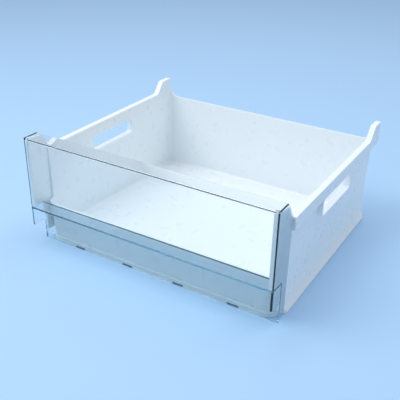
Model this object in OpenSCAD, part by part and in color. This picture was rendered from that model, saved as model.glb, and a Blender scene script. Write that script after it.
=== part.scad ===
// Freezer drawer: a moulded white tub with a clear clip-on front panel.
// It stands on its two runners. X is across, Y runs back from the panel, Z is up.
// An outline is a list of [across, up, corner radius].

/* [Overall] */
// Width of the clear front panel
panel_w = 455; // [380:1:560]
// Depth from the panel's front face to the back wall
depth = 420; // [360:1:500]
// Height of the front panel
panel_h = 200; // [192:1:225]

/* [Tub] */
// Wall thickness of the white moulding
tub_t = 2.5; // [2:0.1:3]
// Height of the side walls, at the top of the rim
rim_z = 169; // [162:1:175]
// Height of the back wall
back_z = 155.5; // [148:0.5:160]
// Height of the floor's underside
floor_z = 5; // [4.5:0.1:6]
// Draft of the walls, in degrees
draft = 1.3; // [0.5:0.1:1.5]
// Radius between the walls and the floor, and of the back corners
edge_r = 9; // [7:0.5:11]
// Radius of the front corners, seen from above
front_corner_r = 20; // [16:1:24]
// Height of the foot band along the lower edge of the front wall
foot_h = 8.5; // [7:0.5:11]

/* [Rim] */
// Reach of the rim past the panel, on each side
rim_reach = 3.2; // [2.6:0.1:5]
// Width of the flat rim beside each side wall
rim_w = 10; // [9:0.5:12]
// Height of the hanging skirt at its front end
skirt_front = 21; // [18:0.5:22]
// Height of the hanging skirt at its back end
skirt_back = 13; // [11:0.5:16]

/* [Back ears] */
// Height of an ear above the rim
ear_rise = 22.5; // [16:0.5:26]
// Length of an ear's top, front to back
ear_top = 28; // [22:1:34]
// Length of the slope from the rim up to an ear's top
ear_slope = 19; // [15:1:24]
// Height of an ear's outer face below the rim
ear_drop = 17.5; // [16:0.5:22]
// Radius of the sweep from the back wall up into an ear
sweep_r = 18; // [10:1:22]

/* [Hand holes] */
// Length of a hand hole, front to back
hole_len = 118; // [90:1:130]
// Height of a hand hole
hole_h = 28; // [22:1:34]
// Corner radius of a hand hole
hole_r = 5.5; // [3:0.5:9]
// Distance from the panel's front face to the front end of the hole
hole_y = 162; // [130:1:180]
// Distance from the top of the rim down to the hole
hole_drop = 22; // [20:0.5:26]
// Thickness of the collar round the hole
collar_t = 2.5; // [2:0.1:3]

/* [Runners] */
// Height at which a runner flares out of the wall
runner_h = 35; // [28:1:42]
// Reach of a runner past the foot of the wall
runner_out = 9.5; // [8:0.5:11]
// Height of the lip along the lower edge of a runner
lip_h = 3.5; // [2.5:0.5:5]
// Set-back of that lip
lip_in = 0.8; // [0.4:0.1:1.2]
// Distance from the panel's front face to the front end of a runner
runner_y = 54; // [53.5:0.5:70]
// Distance from the back wall to the back end of a runner
runner_gap = 10; // [6:1:20]
// Radius of a runner's back end, seen from above
runner_end_r = 9; // [6:0.5:11]

/* [Front wings] */
// Height of the lower end of a wing
wing_z = 17; // [12:1:24]
// Width of the lip along the front edge of a wing
wing_lip = 6; // [5.5:0.5:9]
// Diameter of the peg on top of a wing
peg_d = 3; // [2.4:0.1:3.4]

/* [Front panel] */
// Thickness of the clear moulding
panel_t = 2.5; // [2:0.1:3]
// Height of the front edge of the grip recess
grip_z = 71.5; // [60:0.5:80]
// Fall of the recess's ceiling from front to back
grip_fall = 2; // [0:0.5:3]
// Depth of the grip recess
grip_depth = 31.5; // [25:0.5:33]
// Width of the top flange, front to back
flange_top = 31; // [26:1:33]
// Length of a side flange, front to back
flange_side = 50; // [46:0.5:52]
// Height of the lower edge of a side flange in front of the recess
chin_z = 39; // [30:1:48]
// Radius of the panel's upright edges
panel_edge_r = 3; // [1:0.5:4]
// Number of snap tongues
tongue_count = 4; // [2:1:5]
// Spacing of the snap tongues
tongue_pitch = 100; // [60:1:105]
// Width of a snap tongue
tongue_w = 19; // [12:1:24]
// Length of a snap tongue behind the panel
tongue_len = 6.5; // [6:0.5:8]
// Gap between the panel and the tub
fit = 0.4; // [0.3:0.05:0.5]

/* [Hidden] */

// Fineness of round shapes, and the overlap that keeps cuts and joints clean
round_fn = 48;
arc_steps = 6;
flare_steps = 10;
over = 1;
wide = 2 * panel_w;

// Panel: its side, its lower edge just off the ground, its tongues and its bosses
panel_x = panel_w / 2;
panel_foot = 0.5;
panel_r = 1.2;
ceiling_z = grip_z + panel_t;
plate_back_z = ceiling_z - grip_fall;
tongue_t = 2;
tongue_z = panel_foot + 0.5;
barb_h = 1.4;
barb_len = 2.5;
tongue_first = -tongue_pitch * (tongue_count - 1) / 2;
boss_d = peg_d + 2.4;
boss_h = 0.6;
peg_x = panel_x - panel_t - boss_d / 2;
peg_y = panel_t + boss_d / 2 + fit;

// Tub walls: the side walls are sized at the rim, the back wall at the ears' top
slope = tan(draft);
rim_x = panel_x + rim_reach;
inner_x = rim_x - rim_w;
front_y = grip_depth + fit;
ear_z = rim_z + ear_rise;
function wall_x(z) = inner_x + tub_t - slope * (rim_z - z);
function back_y(z) = depth - slope * (ear_z - z);
function wall_front_y(z) = front_y + slope * (plate_back_z - z);

// Rim and ears
ear_y = depth - ear_top - ear_slope;
ear_angle = atan(ear_rise / ear_slope);
ear_foot_r = 10;
ear_edge_r = 6;

// Wings
wing_x = panel_x - panel_t - fit;
wing_front = peg_y - tub_t / 2;
wing_back = flange_side + 3;
wing_top = panel_h - panel_t - fit;
wing_foot = ceiling_z + fit;

// Hand holes and runners
hole_z = rim_z - hole_drop - hole_h;
runner_x = wall_x(0) + runner_out;
runner_root_x = wall_x(0) - edge_r;
runner_end = back_y(0) - runner_gap;
flare_x = wall_x(runner_h);
flare_w = runner_x - flare_x;
flare_h = runner_h - lip_h;
flare_r = (flare_h ^ 2 + flare_w ^ 2) / (2 * flare_w);

// Arc that rounds the corner q between the neighbours p and s
function unit(v) = v / norm(v);
function arc_at(p, q, s, r) =
    let (a = unit(p - q), b = unit(s - q), half = acos(a * b) / 2, turn = 180 - 2 * half)
    let (mid = q + unit(a + b) * r / sin(half))
    let (from = q + a * r / tan(half) - mid, to = q + b * r / tan(half) - mid)
    [for (i = [0 : arc_steps]) let (t = turn * i / arc_steps)
        mid + (from * sin(turn - t) + to * sin(t)) / sin(turn)];

// Outline with its corners rounded
function rounded(pts) = let (n = len(pts), flat = [for (p = pts) [p[0], p[1]]])
    [for (i = [0 : n - 1]) each pts[i][2] == 0 ? [flat[i]]
        : arc_at(flat[(i + n - 1) % n], flat[i], flat[(i + 1) % n], pts[i][2])];

function box_outline(x1, y1, x2, y2, r) = [[x1, y1, r], [x2, y1, r], [x2, y2, r], [x1, y2, r]];

// Side view (y, z), thick from x1 to x2
module side_plate(x1, x2, pts) {
    translate([x1, 0, 0])
        rotate([90, 0, 90])
            linear_extrude(x2 - x1)
                polygon(rounded(pts));
}

// Front view (x, z), thick from y1 to y2
module front_plate(y1, y2, pts) {
    translate([0, y2, 0])
        rotate([90, 0, 0])
            linear_extrude(y2 - y1)
                polygon(rounded(pts));
}

// Plan view (x, y), high from z1 to z2
module plan_plate(z1, z2, pts) {
    translate([0, 0, z1])
        linear_extrude(z2 - z1)
            polygon(rounded(pts));
}

module both_sides() {
    children();
    mirror([1, 0, 0])
        children();
}

// Lower corner of the tray: plan radius r, rounded below by edge
module tray_corner(r, edge) {
    rotate_extrude($fn = round_fn)
        translate([r - edge, 0])
            intersection() {
                circle(edge, $fn = round_fn);
                translate([0, -edge])
                    square(edge);
            }
}

// Drafted tray with round corners, inset from the tub's outer faces
module tray(inset, bottom, top) {
    edge = edge_r - inset;
    front_r = front_corner_r - inset;
    low = bottom + edge;
    hull()
        both_sides() {
            translate([wall_x(bottom) - inset - edge, back_y(bottom) - inset - edge, low])
                tray_corner(edge, edge);
            translate([wall_x(top) - inset - edge, back_y(top) - inset - edge, top - over])
                cylinder(over, r = edge, $fn = round_fn);
            translate([wall_x(bottom) - inset - front_r, wall_front_y(bottom) + inset + front_r, low])
                tray_corner(front_r, edge);
            translate([wall_x(top) - inset - front_r, wall_front_y(top) + inset + front_r, top - over])
                cylinder(over, r = front_r, $fn = round_fn);
        }
}

// Rim, skirt and the outside of an ear: a channel that is open below
module rim_channel() {
    shift = tub_t * tan(ear_angle / 2);
    difference() {
        side_plate(inner_x + tub_t / 2, rim_x, [
            [wing_back, ear_z + over, 0],
            [wing_back, rim_z - skirt_front, 0],
            [hole_y + hole_len + ear_slope, rim_z - skirt_front, 20],
            [ear_y, rim_z - skirt_back, 4],
            [ear_y + ear_slope / 2, rim_z - ear_drop, 4],
            [depth, rim_z - ear_drop, ear_edge_r],
            [depth, ear_z + over, 0]]);
        side_plate(inner_x, rim_x - tub_t, [
            [wing_back + tub_t, 0, 0],
            [wing_back + tub_t, rim_z - tub_t, 0],
            [ear_y + shift, rim_z - tub_t, 0],
            [ear_y + ear_slope + shift, ear_z - tub_t, 0],
            [depth - tub_t, ear_z - tub_t, 0],
            [depth - tub_t, 0, 0]]);
    }
}

// Everything above the rim and the slope of the ears
module above_rim() {
    side_plate(-wide / 2, wide / 2, [
        [-over, rim_z, 0],
        [ear_y, rim_z, ear_foot_r],
        [ear_y + ear_slope, ear_z, ear_edge_r],
        [depth + over, ear_z, 0],
        [depth + over, ear_z + 2 * over, 0],
        [-over, ear_z + 2 * over, 0]]);
}

// Everything above the back wall, between the sweeps
module above_back() {
    foot_x = inner_x - tub_t;
    front_plate(depth - edge_r - tub_t, depth + over, [
        [-foot_x, back_z, sweep_r],
        [foot_x, back_z, sweep_r],
        [inner_x, ear_z, 0],
        [inner_x, ear_z + 2 * over, 0],
        [-inner_x, ear_z + 2 * over, 0],
        [-inner_x, ear_z, 0]]);
}

module hand_hole(x1, x2, grow) {
    side_plate(x1, x2, box_outline(
        hole_y - grow, hole_z - grow, hole_y + hole_len + grow, hole_z + hole_h + grow, hole_r + grow));
}

// Solid form of a runner, inset from its outer faces
module runner_form(inset, bottom) {
    flare = [for (i = [0 : flare_steps]) let (a = asin(flare_h / flare_r) * i / flare_steps)
        [flare_x + flare_r * (1 - cos(a)) - inset, runner_h - flare_r * sin(a), 0]];
    lip_x = runner_x - lip_in - inset;
    root_x = runner_root_x - inset;
    intersection() {
        front_plate(runner_y, runner_end, concat(
            [[root_x, bottom, 0], [root_x, runner_h, 0]], flare, [[lip_x, lip_h, 0], [lip_x, bottom, 0]]));
        plan_plate(bottom - over, runner_h + over, [
            [root_x - over, runner_y + inset, 0],
            [runner_x + over - inset, runner_y + inset, 0],
            [runner_x + over - inset, runner_end - inset, runner_end_r + over - inset],
            [root_x - over, runner_end - inset, 0]]);
    }
}

module runner() {
    difference() {
        runner_form(0, 0);
        runner_form(tub_t, -over);
    }
}

// Band below the low front wall, which follows the front corners
module front_foot() {
    function band(in) = [
        [-wall_x(floor_z) + in, front_y + in, front_corner_r - in],
        [wall_x(floor_z) - in, front_y + in, front_corner_r - in],
        [wall_x(floor_z) - in, runner_y + tub_t / 2, 0],
        [-wall_x(floor_z) + in, runner_y + tub_t / 2, 0]];
    difference() {
        plan_plate(panel_foot, foot_h, band(0));
        plan_plate(panel_foot - over, floor_z + tub_t / 5, concat(
            [for (i = [0, 1]) band(tub_t)[i]],
            [for (i = [2, 3]) band(tub_t)[i] + [0, over, 0]]));
        plan_plate(floor_z, foot_h + over, concat(
            [for (i = [0, 1]) band(edge_r - tub_t)[i]],
            [for (i = [2, 3]) band(edge_r - tub_t)[i] + [0, over, 0]]));
    }
}

// Wing that the panel slips over, with its front lip, its joint to the wall and its peg
module wing() {
    rise = rim_z + 4;
    side_plate(wing_x - tub_t, wing_x, [
        [wing_front, wing_foot, 0],
        [front_y, wing_foot, 2],
        [front_y, wing_z, 3],
        [wing_back, wing_z, 0],
        [wing_back, rim_z, 0],
        [flange_side - 3, rise, 5],
        [flange_top + 5, wing_top - 5, 8],
        [peg_y + boss_d, wing_top, 4],
        [wing_front, wing_top, 3]]);
    front_plate(wing_front, wing_front + tub_t, [
        [wing_x - wing_lip, wing_foot, 1],
        [wing_x, wing_foot, 0],
        [wing_x, wing_top, 0],
        [wing_x - wing_lip, wing_top, 3]]);
    front_plate(wing_back - tub_t, wing_back, [
        [wall_x(wing_z) - tub_t / 2, wing_z, 0],
        [wing_x, wing_z, 0],
        [wing_x, rim_z, 0],
        [wall_x(rim_z) - tub_t / 2, rim_z, 0]]);
    translate([peg_x, peg_y, wing_top - tub_t])
        cylinder(tub_t + fit + panel_t + boss_h, d = peg_d, $fn = round_fn);
}

module tongue_places() {
    for (i = [0 : tongue_count - 1])
        translate([tongue_first + i * tongue_pitch, 0, 0])
            children();
}

module tub() {
    color("white")
        translate([0, -depth / 2, 0]) {
            difference() {
                union() {
                    tray(0, floor_z, ear_z + over);
                    front_foot();
                    both_sides() {
                        rim_channel();
                        runner();
                        hand_hole(inner_x - tub_t, rim_x, collar_t);
                    }
                }
                tray(tub_t, floor_z + tub_t, ear_z + 2 * over);
                above_rim();
                above_back();
                both_sides()
                    hand_hole(inner_x - edge_r, rim_x + over, 0);
                translate([-wide / 2, 0, plate_back_z])
                    cube([wide, wing_back - tub_t / 2, panel_h]);
                tongue_places()
                    side_plate(-tongue_w / 2 - fit, tongue_w / 2 + fit, box_outline(
                        front_y - over, 0, front_y + tub_t + over, tongue_z + tongue_t + fit, 0));
            }
            both_sides()
                wing();
        }
}

// Side view of the panel: top flange, upper plate, recess ceiling and lower plate
module panel_section() {
    side_plate(-panel_x, panel_x, [
        [0, grip_z, panel_r],
        [0, panel_h, panel_r],
        [flange_top, panel_h, panel_r],
        [flange_top, panel_h - panel_t, 0],
        [panel_t, panel_h - panel_t, 1],
        [panel_t, ceiling_z, 1],
        [grip_depth, plate_back_z, panel_r],
        [grip_depth, panel_foot, 0],
        [grip_depth - panel_t, panel_foot, 0],
        [grip_depth - panel_t, grip_z - grip_fall, 1]]);
}

module side_flange() {
    side_plate(panel_x - panel_t, panel_x, [
        [0, chin_z, 2],
        [0, panel_h, panel_r],
        [flange_top, panel_h, 3],
        [flange_side - 2, rim_z + 5, 12],
        [flange_side + 2, rim_z - 3, 4],
        [flange_side, rim_z - 18, 10],
        [flange_side - 3, panel_foot, 2],
        [grip_depth - panel_t, panel_foot, 0],
        [grip_depth - panel_t, chin_z, 5]]);
}

// Snap tongue with a barb that hooks up behind the foot band
module tongue() {
    barb_y = front_y + tub_t + fit;
    tip_y = grip_depth + tongue_len;
    side_plate(-tongue_w / 2, tongue_w / 2, [
        [grip_depth - over, tongue_z, 0],
        [tip_y, tongue_z, 0],
        [tip_y, tongue_z + tongue_t, 0],
        [tip_y - barb_len / 2, tongue_z + tongue_t + barb_h, 0],
        [barb_y, tongue_z + tongue_t + barb_h, 0],
        [barb_y, tongue_z + tongue_t, 0],
        [grip_depth - over, tongue_z + tongue_t, 0]]);
}

module front_panel() {
    color([0.72, 0.86, 0.92, 0.45])
        translate([0, -depth / 2, 0])
            difference() {
                intersection() {
                    union() {
                        panel_section();
                        both_sides()
                            side_flange();
                        both_sides()
                            translate([peg_x, peg_y, panel_h - panel_t])
                                cylinder(panel_t + boss_h, d = boss_d, $fn = round_fn);
                        tongue_places()
                            tongue();
                    }
                    plan_plate(0, panel_h + 2 * boss_h, [
                        [-panel_x, 0, panel_edge_r],
                        [panel_x, 0, panel_edge_r],
                        [panel_x, depth, 0],
                        [-panel_x, depth, 0]]);
                }
                both_sides()
                    translate([peg_x, peg_y, panel_h - panel_t - over])
                        cylinder(panel_t + boss_h + 2 * over, d = peg_d + 2 * fit, $fn = round_fn);
            }
}

tub();
front_panel();
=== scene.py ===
"""Looks of the freezer drawer: a moulded white tub and its clear front panel, on a plain pale floor."""

import math

import bmesh
import bpy
from mathutils import Matrix, Vector


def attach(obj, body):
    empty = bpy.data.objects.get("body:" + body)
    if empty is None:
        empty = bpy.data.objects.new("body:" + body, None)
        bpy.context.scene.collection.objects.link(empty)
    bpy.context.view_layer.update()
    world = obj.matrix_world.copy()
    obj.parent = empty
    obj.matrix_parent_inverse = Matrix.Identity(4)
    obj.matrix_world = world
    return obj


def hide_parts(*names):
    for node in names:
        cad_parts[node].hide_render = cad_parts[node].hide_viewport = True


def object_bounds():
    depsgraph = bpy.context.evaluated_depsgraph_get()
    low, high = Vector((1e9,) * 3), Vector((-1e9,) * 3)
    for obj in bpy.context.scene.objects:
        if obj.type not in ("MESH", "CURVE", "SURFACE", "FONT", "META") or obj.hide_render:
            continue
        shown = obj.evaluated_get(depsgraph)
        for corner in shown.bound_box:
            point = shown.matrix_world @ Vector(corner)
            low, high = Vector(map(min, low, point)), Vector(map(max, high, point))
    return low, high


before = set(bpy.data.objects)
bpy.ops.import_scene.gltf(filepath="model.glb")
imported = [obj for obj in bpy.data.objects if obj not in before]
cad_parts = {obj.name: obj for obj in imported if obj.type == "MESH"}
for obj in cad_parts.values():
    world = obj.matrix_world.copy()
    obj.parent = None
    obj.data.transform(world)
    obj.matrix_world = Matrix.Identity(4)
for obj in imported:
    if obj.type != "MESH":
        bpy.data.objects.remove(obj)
cad_low, cad_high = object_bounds()

# Camera, measured from the middle of the panel's front face at floor level, in metres and degrees
CAMERA_OFFSET = Vector((0.5159, -0.6863, 0.6093))
CAMERA_YAW = 30.784
CAMERA_PITCH = 28.017
CAMERA_ROLL = 1.086
SENSOR_MM = 36.0
FOCAL_PER_WIDTH = 1.62675

# Rounding of moulded edges, in metres
TUB_EDGE = 0.0007
PANEL_EDGE = 0.0005
SHARP_ANGLE = math.radians(30)
FLAT_ANGLE = math.radians(0.4)

# Colours are linear, absorption is per metre of clear plastic
TUB_COLOUR = (0.86, 0.905, 0.935, 1)
CLEAR_IOR = 1.57
CLEAR_ABSORPTION = (25.0, 10.0, 4.5)
FLOOR_COLOUR = (0.42, 0.62, 0.86, 1)
WORLD_COLOUR = (0.80, 0.90, 1.0, 1)
WORLD_STRENGTH = 0.62


def node_material(name):
    """An empty node material and its output node."""
    material = bpy.data.materials.new(name)
    material.use_nodes = True
    tree = material.node_tree
    tree.nodes.clear()
    return material, tree, tree.nodes.new("ShaderNodeOutputMaterial")


def noise(tree, scale, detail=2.0):
    """Noise in object space, in bumps per metre."""
    where = tree.nodes.new("ShaderNodeTexCoord")
    texture = tree.nodes.new("ShaderNodeTexNoise")
    texture.inputs["Scale"].default_value = scale
    texture.inputs["Detail"].default_value = detail
    tree.links.new(where.outputs["Object"], texture.inputs["Vector"])
    return texture.outputs["Fac"]


def spread(tree, source, low, high):
    """A value from low to high that follows source from 0.3 to 0.7."""
    mapped = tree.nodes.new("ShaderNodeMapRange")
    mapped.inputs["From Min"].default_value = 0.3
    mapped.inputs["From Max"].default_value = 0.7
    mapped.inputs["To Min"].default_value = low
    mapped.inputs["To Max"].default_value = high
    tree.links.new(source, mapped.inputs["Value"])
    return mapped.outputs["Result"]


def bump(tree, source, height, shader):
    """Relief on a shader, height in metres."""
    relief = tree.nodes.new("ShaderNodeBump")
    relief.inputs["Strength"].default_value = 1.0
    relief.inputs["Distance"].default_value = height
    tree.links.new(source, relief.inputs["Height"])
    tree.links.new(relief.outputs["Normal"], shader.inputs["Normal"])


def tub_material():
    """White moulded polystyrene: satin gloss, a soft inner glow, faint flow marks."""
    material, tree, out = node_material("white_moulding")
    shader = tree.nodes.new("ShaderNodeBsdfPrincipled")
    shader.inputs["Base Color"].default_value = TUB_COLOUR
    shader.inputs["IOR"].default_value = 1.55
    shader.inputs["Subsurface Weight"].default_value = 0.25
    shader.inputs["Subsurface Radius"].default_value = (0.8, 0.9, 1.0)
    shader.inputs["Subsurface Scale"].default_value = 0.004
    tree.links.new(spread(tree, noise(tree, 60), 0.26, 0.36), shader.inputs["Roughness"])
    bump(tree, noise(tree, 900), 0.00001, shader)
    tree.links.new(shader.outputs["BSDF"], out.inputs["Surface"])
    return material


def clear_material():
    """Clear moulding: smooth glass-like skin, with a teal tint that deepens along its edges."""
    material, tree, out = node_material("clear_moulding")
    shader = tree.nodes.new("ShaderNodeBsdfPrincipled")
    shader.inputs["Base Color"].default_value = (1, 1, 1, 1)
    shader.inputs["Transmission Weight"].default_value = 1.0
    shader.inputs["Roughness"].default_value = 0.03
    shader.inputs["IOR"].default_value = CLEAR_IOR
    inside = tree.nodes.new("ShaderNodeVolumeAbsorption")
    density = max(CLEAR_ABSORPTION) * 1.1
    inside.inputs["Density"].default_value = density
    inside.inputs["Color"].default_value = (*[1 - a / density for a in CLEAR_ABSORPTION], 1)
    lamps = tree.nodes.new("ShaderNodeBsdfTransparent")
    lamps.inputs["Color"].default_value = (0.88, 0.93, 0.95, 1)
    path = tree.nodes.new("ShaderNodeLightPath")
    mix = tree.nodes.new("ShaderNodeMixShader")
    tree.links.new(path.outputs["Is Shadow Ray"], mix.inputs["Fac"])
    tree.links.new(shader.outputs["BSDF"], mix.inputs[1])
    tree.links.new(lamps.outputs["BSDF"], mix.inputs[2])
    tree.links.new(mix.outputs["Shader"], out.inputs["Surface"])
    tree.links.new(inside.outputs["Volume"], out.inputs["Volume"])
    return material


def floor_material():
    """Plain pale floor."""
    material, tree, out = node_material("pale_floor")
    shader = tree.nodes.new("ShaderNodeBsdfPrincipled")
    shader.inputs["Base Color"].default_value = FLOOR_COLOUR
    shader.inputs["Roughness"].default_value = 0.7
    tree.links.new(shader.outputs["BSDF"], out.inputs["Surface"])
    return material


def moulded_piece(node, name, edge, material):
    """The CAD solid with its edges rounded as a mould leaves them, standing for its node."""
    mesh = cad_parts[node].data.copy()
    form = bmesh.new()
    form.from_mesh(mesh)
    bmesh.ops.remove_doubles(form, verts=form.verts, dist=1e-6)
    bmesh.ops.dissolve_limit(form, angle_limit=FLAT_ANGLE, verts=form.verts, edges=form.edges)
    form.to_mesh(mesh)
    form.free()
    piece = bpy.data.objects.new(name, mesh)
    bpy.context.scene.collection.objects.link(piece)
    mesh.materials.clear()
    mesh.materials.append(material)
    mesh.shade_smooth()
    mesh.set_sharp_from_angle(angle=SHARP_ANGLE)
    rounding = piece.modifiers.new("rounding", "BEVEL")
    rounding.width = edge
    rounding.segments = 2
    rounding.limit_method = "ANGLE"
    rounding.angle_limit = SHARP_ANGLE
    rounding.harden_normals = True
    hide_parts(node)
    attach(piece, "root")
    return piece


def add_camera():
    """Camera where the photograph was taken from."""
    data = bpy.data.cameras.new("camera")
    data.sensor_width = SENSOR_MM
    data.lens = SENSOR_MM * FOCAL_PER_WIDTH
    data.clip_start = 0.01
    data.clip_end = 50
    camera = bpy.data.objects.new("camera", data)
    place = Vector(((cad_low.x + cad_high.x) / 2, cad_low.y, cad_low.z)) + CAMERA_OFFSET
    turn = (
        Matrix.Rotation(math.radians(CAMERA_YAW), 4, "Z")
        @ Matrix.Rotation(math.radians(90 - CAMERA_PITCH), 4, "X")
        @ Matrix.Rotation(math.radians(CAMERA_ROLL), 4, "Z")
    )
    camera.matrix_world = Matrix.Translation(place) @ turn
    bpy.context.scene.collection.objects.link(camera)
    bpy.context.scene.camera = camera


def add_lamp(name, place, size, power):
    """A square soft box that faces the middle of the drawer."""
    data = bpy.data.lights.new(name, "AREA")
    data.size = size
    data.energy = power
    lamp = bpy.data.objects.new(name, data)
    lamp.location = place
    lamp.rotation_mode = "QUATERNION"
    lamp.rotation_quaternion = (Vector((0, 0, 0.1)) - place).to_track_quat("-Z", "Y")
    bpy.context.scene.collection.objects.link(lamp)


def add_floor():
    """A wide pale floor just under the drawer."""
    mesh = bpy.data.meshes.new("floor")
    half = 12.0
    corners = [(-half, -half, 0), (half, -half, 0), (half, half, 0), (-half, half, 0)]
    mesh.from_pydata(corners, [], [(0, 1, 2, 3)])
    mesh.materials.append(floor_material())
    floor = bpy.data.objects.new("floor", mesh)
    floor.location.z = cad_low.z - 0.0002
    bpy.context.scene.collection.objects.link(floor)


def add_world():
    """Even pale light from all round."""
    world = bpy.data.worlds.new("studio")
    world.use_nodes = True
    sky = world.node_tree.nodes["Background"]
    sky.inputs["Color"].default_value = WORLD_COLOUR
    sky.inputs["Strength"].default_value = WORLD_STRENGTH
    bpy.context.scene.world = world


add_camera()
add_world()
add_floor()
add_lamp("key", Vector((-1.1, -1.0, 2.0)), 1.6, 26)
add_lamp("top", Vector((0.2, 0.6, 2.4)), 2.0, 22)

tub = moulded_piece("tub", "tub_moulding", TUB_EDGE, tub_material())
panel = moulded_piece("front_panel", "panel_moulding", PANEL_EDGE, clear_material())

bpy.context.scene.view_settings.view_transform = "Standard"
